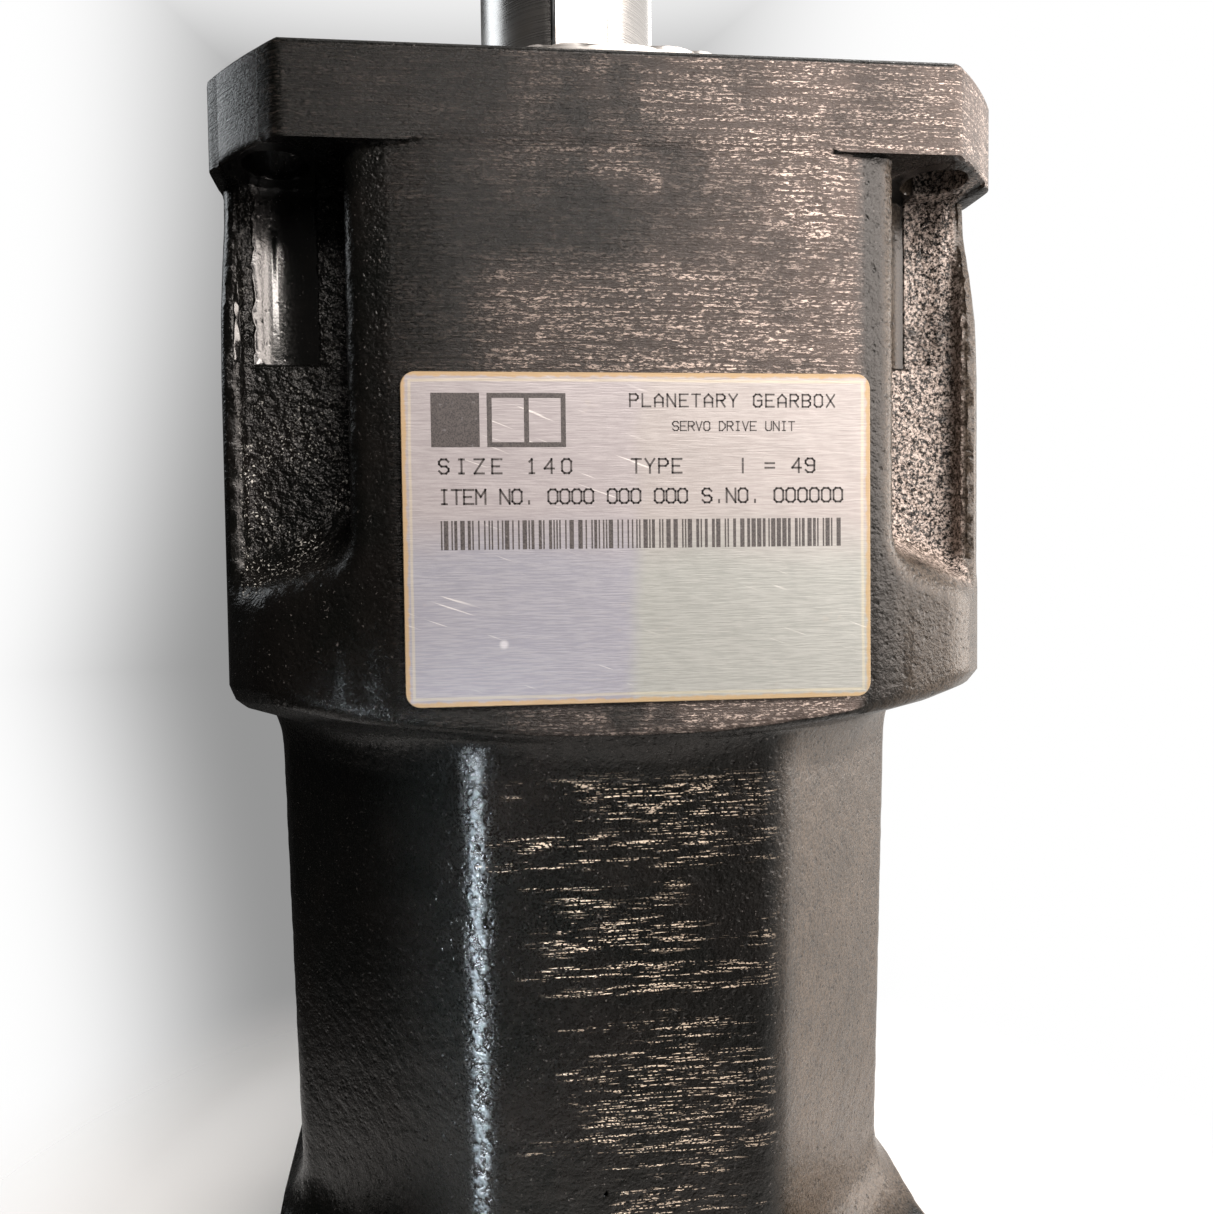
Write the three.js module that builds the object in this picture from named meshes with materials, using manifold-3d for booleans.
// Two-stage planetary gearbox with square output flange and motor adapter.
// Millimetres. The gearbox axis is Z, the output shaft points up, the nameplate faces -Y.
// The origin is the centre of the motor adapter's flat underside.
import * as THREE from "three";
import { mergeVertices } from "three/addons/utils/BufferGeometryUtils.js";
import Module from "manifold-3d";

const wasm = await Module();
wasm.setup();

// ---- driving dimensions ----
const GAP = 0.3; // clearance between neighbouring parts
const FLANGE = 140; // side of the square output flange
const FLANGE_TURNED = 180; // diameter its corners are turned to
const FLANGE_UNDER = 253; // height of the flange's underside
const FLANGE_THICK = 16;
const FLANGE_TOP = FLANGE_UNDER + FLANGE_THICK;
const PILOT_D = 130;
const PILOT_H = 3.5;
const BOLT_CIRCLE = 165;
const BOLT_HOLE = 11;
const SPOTFACE = 18;
const SPOTFACE_DROP = 7.5; // room under the flange around the bolt's nut
const RELIEF_DROP = 31; // how far the same cutter ran down the pocket's back wall
const BODY_R = 88.2; // radius of the upper body's corners, less just under the flange
const STRIP_IN = 41; // half width of the milled front face
const POCKET_IN = 46.5;
const POCKET_OUT = 66.5;
const POCKET_DEEP = 51.1; // distance of the pocket's back wall from the axis
const POCKET_FLOOR = 69.7; // drop from the flange to the pocket floor where its radius is 84.5
const SHOULDER_TOP = FLANGE_UNDER - 88.5;
const LOWER_TOP_HALF = 65.3; // half width across flats of the octagonal lower body
const LOWER_BOTTOM_HALF = 63;
const ADAPTER_H = 34;
const INPUT_FLANGE = 136;
const INPUT_TURNED = 172;
const INPUT_FLANGE_TOP = 48;
const MAIN_BORE = 104.6;
const BORE_TOP = 212;
const SHAFT_D = 40;
const SHAFT_END = FLANGE_TOP + 82;
const MODULE = 1.25;
const SUN_T = 12;
const PLANET_T = 30;
const RING_T = 72;
const PRESSURE = (25 * Math.PI) / 180;
const ADDENDUM = 0.85 * MODULE;
const DEDENDUM = 1.15 * MODULE;
const THIN = 0.16; // how much each tooth is thinned for backlash
const CENTRE = (MODULE * (SUN_T + PLANET_T)) / 2;
const MOTOR_PILOT = 110;
const MOTOR_PILOT_DEEP = 5;
const MOTOR_CIRCLE = 130;
const MOTOR_SHAFT = 24;
const ADAPTER_BOLT_R = 77;
const PLATE_SCREW_R = 61.5; // distance of the centring plate's screws from the axis
const LABEL_W = 78;
const LABEL_H = 54;
const LABEL_X = 1.2;
const LABEL_Z = FLANGE_UNDER - 63.6;

// ---- solids ----
function solid(geometry) {
  const bare = new THREE.BufferGeometry();
  const flat = geometry.index ? geometry.toNonIndexed() : geometry;
  bare.setAttribute("position", flat.getAttribute("position"));
  const merged = mergeVertices(bare, 1e-4);
  const index = merged.index.array;
  const kept = [];
  for (let i = 0; i < index.length; i += 3) {
    const [a, b, c] = index.slice(i, i + 3);
    if (a !== b && b !== c && a !== c) kept.push(a, b, c);
  }
  const vertProperties = merged.attributes.position.array;
  const make = (triVerts) => new wasm.Manifold(new wasm.Mesh({ numProp: 3, vertProperties, triVerts }));
  const made = make(new Uint32Array(kept));
  if (made.volume() > 0) return made;
  for (let i = 0; i < kept.length; i += 3) [kept[i + 1], kept[i + 2]] = [kept[i + 2], kept[i + 1]];
  return make(new Uint32Array(kept));
}

// Turns a profile of [radius, height] points about the Z axis.
function turned(profile, segments = 40, closed = true) {
  const points = profile.map(([r, z]) => new THREE.Vector2(r, z));
  if (closed) points.push(points[0].clone());
  const g = new THREE.LatheGeometry(points, segments);
  return solid(g.rotateX(Math.PI / 2));
}

const tube = (rOut, rIn, z0, z1, segments = 40) =>
  turned([[rIn, z0], [rOut, z0], [rOut, z1], [rIn, z1]], segments);

function rod(r, z0, z1, x = 0, y = 0, segments = 24) {
  const g = new THREE.CylinderGeometry(r, r, z1 - z0, segments);
  return solid(g.rotateX(Math.PI / 2).translate(x, y, (z0 + z1) / 2));
}

function box(w, d, h, x, y, z) {
  return solid(new THREE.BoxGeometry(w, d, h).translate(x, y, z));
}

function polygon(points) {
  return new THREE.Shape(points.map(([x, y]) => new THREE.Vector2(x, y)));
}

function slab(shape, z0, z1) {
  const g = new THREE.ExtrudeGeometry(shape, { depth: z1 - z0, bevelEnabled: false, curveSegments: 8 });
  return solid(g.translate(0, 0, z0));
}

// A prism with flat sides whose half width across flats changes from bottom to top.
function drafted(sides, halfTop, halfBottom, z0, z1) {
  const k = 1 / Math.cos(Math.PI / sides);
  const g = new THREE.CylinderGeometry(halfTop * k, halfBottom * k, z1 - z0, sides);
  g.rotateX(Math.PI / 2).rotateZ(Math.PI / sides);
  return solid(g.translate(0, 0, (z0 + z1) / 2));
}

function joined(list) {
  return list.reduce((a, b) => a.add(b));
}

function corners(r) {
  return [[r, -r], [-r, -r], [-r, r], [r, r]].map(([x, y]) => [x, y]);
}

const group = new THREE.Group();

function add(name, shape, color, roughness, metalness) {
  const m = shape.getMesh();
  const n = m.numProp;
  const v = new Float32Array(m.numVert * 3);
  for (let i = 0; i < m.numVert; i++) v.set(m.vertProperties.subarray(i * n, i * n + 3), i * 3);
  const g = new THREE.BufferGeometry();
  g.setAttribute("position", new THREE.BufferAttribute(v, 3));
  g.setIndex(new THREE.BufferAttribute(m.triVerts, 1));
  const material = new THREE.MeshStandardMaterial({ color, roughness, metalness });
  const mesh = new THREE.Mesh(g, material);
  mesh.name = name;
  group.add(mesh);
  return mesh;
}

const PAINT = [0x17181a, 0.42, 0.2];
const STEEL = [0x9a9ca0, 0.35, 0.9];
const DARK_STEEL = [0x55575b, 0.45, 0.85];
const BEARING = [0xb8babd, 0.22, 0.95];
const RUBBER = [0x1a1a1a, 0.8, 0];
const ZINC = [0xa9adb0, 0.4, 0.8];
const BRONZE = [0x9c7440, 0.4, 0.8];

// ---- housing: flange, upper body, shoulder, octagonal lower body, input flange ----
const bore = FLANGE / 2;
const flange = slab(polygon([[-bore, -bore], [bore, -bore], [bore, bore], [-bore, bore]]), FLANGE_UNDER, FLANGE_TOP)
  .intersect(turned([[0, FLANGE_UNDER - 1], [FLANGE_TURNED / 2, FLANGE_UNDER - 1],
    [FLANGE_TURNED / 2, FLANGE_TOP - 1.2], [FLANGE_TURNED / 2 - 1.2, FLANGE_TOP], [0, FLANGE_TOP]], 56, false))
  .intersect(drafted(4, bore - 1.2, bore + FLANGE_THICK - 1.2, FLANGE_UNDER, FLANGE_TOP));
const upper = drafted(4, bore - 0.1, bore - 0.3, SHOULDER_TOP - 15.5, FLANGE_UNDER + 2).intersect(
  turned([[0, SHOULDER_TOP - 15.5], [63, SHOULDER_TOP - 15.5], [66, SHOULDER_TOP - 12.5],
    [70, SHOULDER_TOP - 8.7], [81, SHOULDER_TOP - 4.8], [86, SHOULDER_TOP - 2.3], [BODY_R, SHOULDER_TOP + 0.5],
    [BODY_R, FLANGE_UNDER - 32], [BODY_R - 0.4, FLANGE_UNDER - 23], [BODY_R - 1.6, FLANGE_UNDER - 14],
    [BODY_R - 3, FLANGE_UNDER - 6], [BODY_R - 3.2, FLANGE_UNDER + 2], [0, FLANGE_UNDER + 2]], 56, false));
const lower = drafted(8, LOWER_TOP_HALF, LOWER_BOTTOM_HALF, INPUT_FLANGE_TOP - 2, SHOULDER_TOP - 8)
  .intersect(rod(68.2, INPUT_FLANGE_TOP - 3, SHOULDER_TOP, 0, 0, 40));
const flare = drafted(8, 63.2, 67.6, INPUT_FLANGE_TOP - 2, INPUT_FLANGE_TOP + 5)
  .add(drafted(8, 63, 64.6, INPUT_FLANGE_TOP, INPUT_FLANGE_TOP + 13))
  .intersect(rod(69.5, INPUT_FLANGE_TOP - 3, INPUT_FLANGE_TOP + 14, 0, 0, 48));
const half = INPUT_FLANGE / 2;
const inputFlange = slab(polygon([[-half, -half], [half, -half], [half, half], [-half, half]]),
  ADAPTER_H + GAP, INPUT_FLANGE_TOP).intersect(rod(INPUT_TURNED / 2, 0, 60, 0, 0, 56));
const pilot = rod(PILOT_D / 2, FLANGE_TOP - 1, FLANGE_TOP + PILOT_H, 0, 0, 40);
let housing = joined([flange, upper, lower, flare, inputFlange, pilot]);

// Stepped bore: seal seat, two bearing seats, then the main bore open to the input side.
housing = housing.subtract(
  turned([[0, 30], [MAIN_BORE / 2, 30], [MAIN_BORE / 2, BORE_TOP], [45.3, BORE_TOP], [45.3, 232.6], [42.8, 232.6],
    [42.8, 260.4], [31.3, 260.4], [31.3, FLANGE_TOP + PILOT_H + 1], [0, FLANGE_TOP + PILOT_H + 1]], 32, false));

// Pockets under the four bolt holes, open to the front and to the back; their floors are one turned cone.
const floorAt = (r) => FLANGE_UNDER - POCKET_FLOOR + 0.7 * (84.5 - r);
const overFloor = turned([[60, floorAt(60)], [110, floorAt(110)], [110, FLANGE_UNDER], [60, FLANGE_UNDER]], 48);
for (const side of [-1, 1]) {
  for (const face of [-1, 1]) {
    const [w, d, h] = [POCKET_OUT - POCKET_IN, 40, 90];
    const room = box(w, d, h, side * (POCKET_IN + w / 2), face * (POCKET_DEEP + d / 2), FLANGE_UNDER - h / 2);
    housing = housing.subtract(room.intersect(overFloor));
    const strip = polygon([[STRIP_IN, 70.6], [STRIP_IN, 70], [POCKET_IN + 0.5, 68.05], [POCKET_IN + 0.5, 70.6]]
      .map(([x, y]) => [side * x, face * y]));
    housing = housing.subtract(slab(strip, FLANGE_UNDER - 100, FLANGE_UNDER));
  }
}
const holeAt = BOLT_CIRCLE / 2 / Math.SQRT2;
for (const [x, y] of corners(holeAt)) {
  housing = housing.subtract(rod(BOLT_HOLE / 2, FLANGE_UNDER - 2, FLANGE_TOP + 1, x, y, 16));
  housing = housing.subtract(rod(SPOTFACE / 2, FLANGE_UNDER - SPOTFACE_DROP, FLANGE_UNDER + 0.3, x, y, 24));
  const inPocket = box(2 * POCKET_OUT, 170, 80, 0, 0, FLANGE_UNDER - 30);
  housing = housing.subtract(rod(SPOTFACE / 2, FLANGE_UNDER - RELIEF_DROP, FLANGE_UNDER, x, y, 24).intersect(inPocket));
}
// Threaded plug holes at the back and clearance holes for the adapter screws.
const acrossBack = (r, y0, y1, x, z, n = 16) => {
  const g = new THREE.CylinderGeometry(r, r, y1 - y0, n);
  return solid(g.translate(x, (y0 + y1) / 2, z));
};
const FILL_Z = FLANGE_UNDER - 36;
const DRAIN_Z = INPUT_FLANGE_TOP + 28;
housing = housing.subtract(acrossBack(6.5, 50, 80, 0, FILL_Z - 22)).subtract(acrossBack(10.5, 69, 80, 0, FILL_Z - 22));
housing = housing.subtract(acrossBack(6.5, 50, 80, 0, DRAIN_Z)).subtract(acrossBack(10.5, 62.6, 80, 0, DRAIN_Z));
const screwAt = ADAPTER_BOLT_R / Math.SQRT2;
for (const [x, y] of corners(screwAt)) {
  housing = housing.subtract(rod(4.5, ADAPTER_H - 1, INPUT_FLANGE_TOP + 1, x, y, 12));
  housing = housing.subtract(rod(7.2, INPUT_FLANGE_TOP - 0.5, INPUT_FLANGE_TOP + 16, x, y, 16));
}
// Groove for the retaining ring under the lower output bearing.
housing = housing.subtract(tube(47, 44, 210.9, 213.4, 32));
add("housing", housing, ...PAINT);

// ---- nameplate ----
const plate = new THREE.Shape();
const [pw, ph, pr] = [LABEL_W / 2, LABEL_H / 2, 2.4];
plate.moveTo(-pw + pr, -ph);
plate.lineTo(pw - pr, -ph);
plate.absarc(pw - pr, -ph + pr, pr, -Math.PI / 2, 0);
plate.lineTo(pw, ph - pr);
plate.absarc(pw - pr, ph - pr, pr, 0, Math.PI / 2);
plate.lineTo(-pw + pr, ph);
plate.absarc(-pw + pr, ph - pr, pr, Math.PI / 2, Math.PI);
plate.lineTo(-pw, -ph + pr);
plate.absarc(-pw + pr, -ph + pr, pr, Math.PI, 1.5 * Math.PI);
const plateBody = new THREE.ExtrudeGeometry(plate, { depth: 0.4, bevelEnabled: false, curveSegments: 4 });
plateBody.rotateX(Math.PI / 2).translate(LABEL_X, -bore - GAP, LABEL_Z);
add("nameplate", solid(plateBody), 0xb9bac0, 0.35, 0.7);

// ---- gears ----
const involute = (a) => Math.tan(a) - a;

// Outline of a gear with straight-flanked approximations of involute teeth.
function gearOutline(teeth, radii, phase, thin) {
  const pitch = (MODULE * teeth) / 2;
  const base = pitch * Math.cos(PRESSURE);
  const halfAt = (r) => {
    const roll = r > base ? involute(Math.acos(base / r)) : 0;
    return Math.PI / (2 * teeth) + involute(PRESSURE) - roll - thin / (2 * pitch);
  };
  const points = [];
  for (let k = 0; k < teeth; k++) {
    const mid = phase + (2 * Math.PI * k) / teeth;
    for (const r of radii) points.push([r, mid - halfAt(r)]);
    for (const r of [...radii].reverse()) points.push([r, mid + halfAt(r)]);
  }
  return points.map(([r, a]) => new THREE.Vector2(r * Math.cos(a), r * Math.sin(a)));
}

function externalGear(teeth, z0, z1, boreR, phase, x = 0, y = 0, fine = false) {
  const pitch = (MODULE * teeth) / 2;
  const radii = fine ? [pitch - DEDENDUM, pitch, pitch + ADDENDUM]
    : [pitch - DEDENDUM, pitch + ADDENDUM];
  const shape = new THREE.Shape(gearOutline(teeth, radii, phase, THIN));
  if (boreR) {
    const hole = new THREE.Path();
    hole.absarc(0, 0, boreR, 0, 2 * Math.PI, true);
    shape.holes.push(hole);
  }
  const g = new THREE.ExtrudeGeometry(shape, { depth: z1 - z0, bevelEnabled: false, curveSegments: 9 });
  return solid(g.translate(x, y, z0));
}

function ringGear(z0, z1) {
  const pitch = (MODULE * RING_T) / 2;
  const shape = new THREE.Shape();
  shape.absarc(0, 0, MAIN_BORE / 2 - GAP, 0, 2 * Math.PI);
  const hole = new THREE.Path(gearOutline(RING_T, [pitch - ADDENDUM, pitch + DEDENDUM], Math.PI / RING_T, -THIN));
  shape.holes.push(hole);
  const g = new THREE.ExtrudeGeometry(shape, { depth: z1 - z0, bevelEnabled: false, curveSegments: 24 });
  return solid(g.translate(0, 0, z0));
}

// Where planet k sits, and how far it is turned so that its teeth mesh with the sun.
function planetPlace(k) {
  const at = (2 * Math.PI * k) / 3 + Math.PI / 2;
  const turn = at + Math.PI - ((2 * Math.PI) / PLANET_T) * ((-SUN_T * at) / (2 * Math.PI) + 0.5);
  return { x: CENTRE * Math.cos(at), y: CENTRE * Math.sin(at), turn };
}

// One stage: three planets with their bushes and pins, named after the stage.
function planetSet(stage, z0, z1, pinLow, pinHigh, pinR) {
  for (let k = 0; k < 3; k++) {
    const { x, y, turn } = planetPlace(k);
    const bushR = pinR + 3;
    const gear = externalGear(PLANET_T, z0, z1, bushR + GAP, turn, x, y);
    add(stage + "_planet_" + (k + 1), gear, ...STEEL);
    const g = new THREE.ExtrudeGeometry(ringShape(bushR, pinR + GAP), { depth: z1 - z0 - 0.6, bevelEnabled: false,
      curveSegments: 8 });
    add(stage + "_bush_" + (k + 1), solid(g.translate(x, y, z0 + 0.3)), ...BRONZE);
    add(stage + "_pin_" + (k + 1), rod(pinR, pinLow, pinHigh, x, y, 16), ...DARK_STEEL);
  }
}

function ringShape(rOut, rIn) {
  const shape = new THREE.Shape();
  shape.absarc(0, 0, rOut, 0, 2 * Math.PI);
  const hole = new THREE.Path();
  hole.absarc(0, 0, rIn, 0, 2 * Math.PI, true);
  shape.holes.push(hole);
  return shape;
}

function withPinHoles(shape, z0, z1, pinR) {
  let made = shape;
  for (let k = 0; k < 3; k++) {
    const { x, y } = planetPlace(k);
    made = made.subtract(rod(pinR + GAP, z0, z1, x, y, 16));
  }
  return made;
}

// ---- output stage ----
planetSet("stage2", 162, 193, 153, 207, 6.5);
add("stage2_ring_gear", ringGear(158, 196), ...DARK_STEEL);
let outputShaft = turned([[0, 196], [42, 196], [42, 209], [29.5, 209], [29.5, 213.6], [27.2, 213.6], [27.2, 232.5],
  [22.2, 232.5], [22.2, 270], [SHAFT_D / 2, 270], [SHAFT_D / 2, SHAFT_END - 1.5], [SHAFT_D / 2 - 1.5, SHAFT_END],
  [0, SHAFT_END]], 24, false);
outputShaft = withPinHoles(outputShaft, 195, 207.3, 6.5);
outputShaft = outputShaft.subtract(rod(9.2, 190, 200.5, 0, 0, 24));
const KEY_Z0 = FLANGE_TOP + 8;
const KEY_Z1 = FLANGE_TOP + 78;
const keyShape = (r) => {
  const s = new THREE.Shape();
  s.absarc(0, KEY_Z1 - 6, r, 0, Math.PI);
  s.absarc(0, KEY_Z0 + 6, r, Math.PI, 2 * Math.PI);
  return s;
};
const keySolid = (r, y0, y1) => {
  const g = new THREE.ExtrudeGeometry(keyShape(r), { depth: y1 - y0, bevelEnabled: false, curveSegments: 6 });
  return solid(g.rotateX(Math.PI / 2).translate(0, -y0, 0));
};
outputShaft = outputShaft.subtract(keySolid(6, 15, 24));
outputShaft = outputShaft.subtract(rod(5, SHAFT_END - 22, SHAFT_END + 1, 0, 0, 16));
add("output_shaft", outputShaft, ...STEEL);
add("output_key", keySolid(6 - GAP, 15 + GAP, 23), ...DARK_STEEL);
let rearPlate = turned([[11, 152], [42, 152], [42, 158.4], [11, 158.4]], 32);
rearPlate = withPinHoles(rearPlate, 150, 160, 6.5);
// Three webs tie the rear plate to the carrier disc between the planets.
for (let k = 0; k < 3; k++) {
  const a = (2 * Math.PI * k) / 3 + Math.PI / 2 + Math.PI / 3;
  const web = new THREE.BoxGeometry(9, 12, 38);
  web.translate(36, 0, 176.6).rotateZ(a);
  rearPlate = rearPlate.add(solid(web).intersect(rod(42, 150, 195.7, 0, 0, 32)));
}
add("output_carrier_plate", rearPlate, ...DARK_STEEL);

// ---- first stage ----
planetSet("stage1", 113, 135, 105, 146, 5.5);
add("stage1_ring_gear", ringGear(108, 137.4), ...DARK_STEEL);
add("ring_spacer", tube(MAIN_BORE / 2 - GAP, 46.4, 137.8, 157.6, 36), ...ZINC);
let carrier1 = turned([[0, 138], [41, 138], [41, 148], [14, 148], [9, 150], [6, 150.6], [6, 160.4], [0, 160.4]], 32, false);
carrier1 = withPinHoles(carrier1, 137, 146.3, 5.5).add(externalGear(SUN_T, 160, 194, 0, 0, 0, 0, true));
carrier1 = carrier1.subtract(rod(3, 130, 143, 0, 0, 12));
add("stage1_carrier", carrier1, ...STEEL);
let plate1 = turned([[12, 104], [41, 104], [41, 110], [12, 110]], 32);
plate1 = withPinHoles(plate1, 103, 111, 5.5);
for (let k = 0; k < 3; k++) {
  const a = (2 * Math.PI * k) / 3 + Math.PI / 2 + Math.PI / 3;
  const web = new THREE.BoxGeometry(9, 11, 29);
  web.translate(35.5, 0, 123.2).rotateZ(a);
  plate1 = plate1.add(solid(web).intersect(rod(41, 104, 137.7, 0, 0, 32)));
}
add("stage1_carrier_plate", plate1, ...DARK_STEEL);

// ---- input shaft: sun teeth, bearing journal, slotted clamping hub ----
let inputShaft = turned([[0, 58], [19.8, 58], [19.8, 96], [11, 96], [6, 99], [6, 110.4], [0, 110.4]], 28, false);
inputShaft = inputShaft.add(turned([[0, 14], [22.6, 14], [23, 14.6], [23, 58.2], [0, 58.2]], 32, false));
inputShaft = inputShaft.subtract(rod(MOTOR_SHAFT / 2, 10, 72, 0, 0, 24));
for (const a of [0, 90, 180, 270]) {
  const slot = new THREE.BoxGeometry(16, 2, 34).translate(18, 0, 14 + 13).rotateZ(((a + 45) * Math.PI) / 180);
  inputShaft = inputShaft.subtract(solid(slot));
}
inputShaft = inputShaft.add(externalGear(SUN_T, 110, 137, 0, 0, 0, 0, true));
add("input_sun_shaft", inputShaft, ...STEEL);

// Clamp collar: a split ring with one tangential screw.
let collar = tube(33, 23.4, 17, 33, 32);
collar = collar.subtract(box(20, 2.4, 20, 30, 0, 25));
collar = collar.subtract(acrossBack(3.4, -30, 30, 28.2, 25, 14)).subtract(acrossBack(5.8, -40, -7.6, 28.2, 25, 16));
add("clamp_collar", collar, ...DARK_STEEL);
let clampScrew = acrossBack(3, -8.2, 15, 28.2, 25, 12).add(acrossBack(5.2, -13.4, -8, 28.2, 25, 20));
clampScrew = clampScrew.subtract(acrossBack(2.9, -14, -10.4, 28.2, 25, 6));
add("clamp_screw", clampScrew, ...DARK_STEEL);

// ---- bearings ----
// Deep-groove ball bearing: two grooved rings and a cage that carries the balls.
function bearing(name, rIn, rOut, z0, z1, ballR) {
  const mid = (z0 + z1) / 2;
  const pitchR = (rIn + rOut) / 2;
  const lip = 0.62 * ballR;
  const groove = (sign) => [-0.6, 0.6].map((t) => [pitchR + sign * (ballR + 0.7), mid + t * ballR]);
  const outerRing = [[rOut, z0], [rOut, z1], [pitchR + lip, z1], ...groove(1).reverse(), [pitchR + lip, z0]];
  const innerRing = [[rIn, z0], [pitchR - lip, z0], ...groove(-1), [pitchR - lip, z1], [rIn, z1]];
  add(name + "_outer_ring", turned(outerRing, 24), ...BEARING);
  add(name + "_inner_ring", turned(innerRing, 24), ...BEARING);
  let cage = tube(pitchR + 0.32 * ballR, pitchR - 0.32 * ballR, mid - 0.7 * ballR, mid + 0.7 * ballR, 14);
  for (let k = 0; k < 7; k++) {
    const a = (2 * Math.PI * (k + 0.5)) / 7;
    const ball = new THREE.SphereGeometry(ballR, 6, 3);
    ball.translate(pitchR * Math.cos(a), pitchR * Math.sin(a), mid);
    cage = cage.add(solid(ball));
  }
  add(name + "_balls", cage, ...BEARING);
}
bearing("output_bearing_upper", 22.5, 42.5, 241, 260, 6.3);
bearing("output_bearing_lower", 27.5, 45, 214, 232, 5.5);
bearing("input_bearing", 20.1, 34, 79, 94, 3.9);
add("bearing_spacer", tube(26.5, 22.5, 232.9, 240.6, 32), ...ZINC);
const snap = tube(46.6, 41.5, 211.2, 213.1, 32).subtract(box(12, 9, 6, 44, 0, 212));
add("bearing_retaining_ring", snap, ...DARK_STEEL);

// ---- seals ----
const lipSeal = (rOut, rIn, z0, z1) => turned([[rOut, z0], [rOut, z1], [rIn + 3, z1], [rIn, z1 - 1.5],
  [rIn, z1 - 3], [rIn + 3.6, z1 - 4], [rIn + 3.6, z0]], 24);
add("output_seal", lipSeal(31, 22.5, 263, 271.4), ...RUBBER);
add("input_seal", lipSeal(30, 20.2, 66, 74), ...RUBBER);

// ---- input bearing carrier ----
const inputCarrier = turned([[MAIN_BORE / 2 - GAP, 62], [MAIN_BORE / 2 - GAP, 99], [44, 99], [44, 97], [24, 97],
  [24, 94.6], [34.3, 94.6], [34.3, 78.6], [30.3, 76], [30.3, 62]], 32);
add("input_bearing_carrier", inputCarrier, ...ZINC);

// ---- motor adapter, and the centring plate that its motor spigot sits in ----
function adapterSlab(z0, z1) {
  return slab(polygon([[-half, -half], [half, -half], [half, half], [-half, half]]), z0, z1)
    .intersect(rod(INPUT_TURNED / 2, z0 - 1, z1 + 1, 0, 0, 56));
}
let motorPlate = adapterSlab(0, MOTOR_PILOT_DEEP).subtract(rod(MOTOR_PILOT / 2, -1, MOTOR_PILOT_DEEP + 1, 0, 0, 36));
let adapter = adapterSlab(MOTOR_PILOT_DEEP + GAP, ADAPTER_H).subtract(rod(40, 0, ADAPTER_H + 1, 0, 0, 36));
adapter = adapter.subtract(tube(58.5, 54.5, ADAPTER_H - 2, ADAPTER_H + 1, 32));
for (const [x, y] of corners(screwAt)) adapter = adapter.subtract(rod(4.3, 12, ADAPTER_H + 1, x, y, 12));
for (const a of [0, 90, 180, 270]) {
  const t = ((a + 45 + 18) * Math.PI) / 180;
  const r = MOTOR_CIRCLE / 2;
  const hole = rod(4.2, -1, 20, r * Math.cos(t), r * Math.sin(t), 12);
  adapter = adapter.subtract(hole);
  motorPlate = motorPlate.subtract(hole);
}
[[PLATE_SCREW_R, 0], [0, PLATE_SCREW_R], [-PLATE_SCREW_R, 0], [0, -PLATE_SCREW_R]].forEach(([x, y], i) => {
  const sunk = turned([[0, -0.5], [5.2, -0.5], [5.2, 0.2], [2.8, 2.6], [2.8, 14], [0, 14]], 12, false);
  motorPlate = motorPlate.subtract(sunk.translate(x, y, 0));
  adapter = adapter.subtract(sunk.translate(x, y, 0));
  const screw = turned([[0, 0.3], [4.6, 0.3], [4.6, 0.5], [2.4, 2.7], [2.4, 13], [0, 13]], 10, false)
    .subtract(rod(1.7, -1, 2, 0, 0, 6));
  add("motor_plate_screw_" + (i + 1), screw.translate(x, y, 0), ...ZINC);
});
add("motor_plate", motorPlate, ...PAINT);
adapter = adapter.subtract(acrossBack(7.5, -80, -30, 28.2, 21)).subtract(acrossBack(11, -80, -half + 1.5, 28.2, 21, 20));
add("motor_adapter", adapter, ...PAINT);
add("adapter_o_ring", tube(58.1, 54.9, ADAPTER_H - 1.7, ADAPTER_H + 0.1, 32), ...RUBBER);
const plug = acrossBack(7.1, -half + 1, -54, 28.2, 21).add(acrossBack(10.6, -half - 0.8, -half + 1.2, 28.2, 21, 20))
  .subtract(acrossBack(3.4, -half - 2, -half + 4, 28.2, 21, 6));
add("access_plug", plug, ...DARK_STEEL);

// ---- screws and oil plugs ----
corners(screwAt).forEach(([x, y], i) => {
  let screw = rod(4, 14, INPUT_FLANGE_TOP, x, y, 10).add(rod(6.5, INPUT_FLANGE_TOP - 0.2, INPUT_FLANGE_TOP + 8, x, y, 16));
  screw = screw.subtract(rod(3.4, INPUT_FLANGE_TOP + 4, INPUT_FLANGE_TOP + 9, x, y, 6));
  add("adapter_screw_" + (i + 1), screw, ...ZINC);
});
function oilPlug(name, seat, z) {
  let p = acrossBack(6.2, seat - 8, seat + 1, 0, z).add(acrossBack(9.8, seat + 0.3, seat + 5, 0, z, 20));
  p = p.subtract(acrossBack(3.5, seat + 1, seat + 8, 0, z, 6));
  add(name, p, ...ZINC);
}
oilPlug("oil_fill_plug", 69, FILL_Z - 22);
oilPlug("oil_drain_plug", 62.6, DRAIN_Z);

export default group;
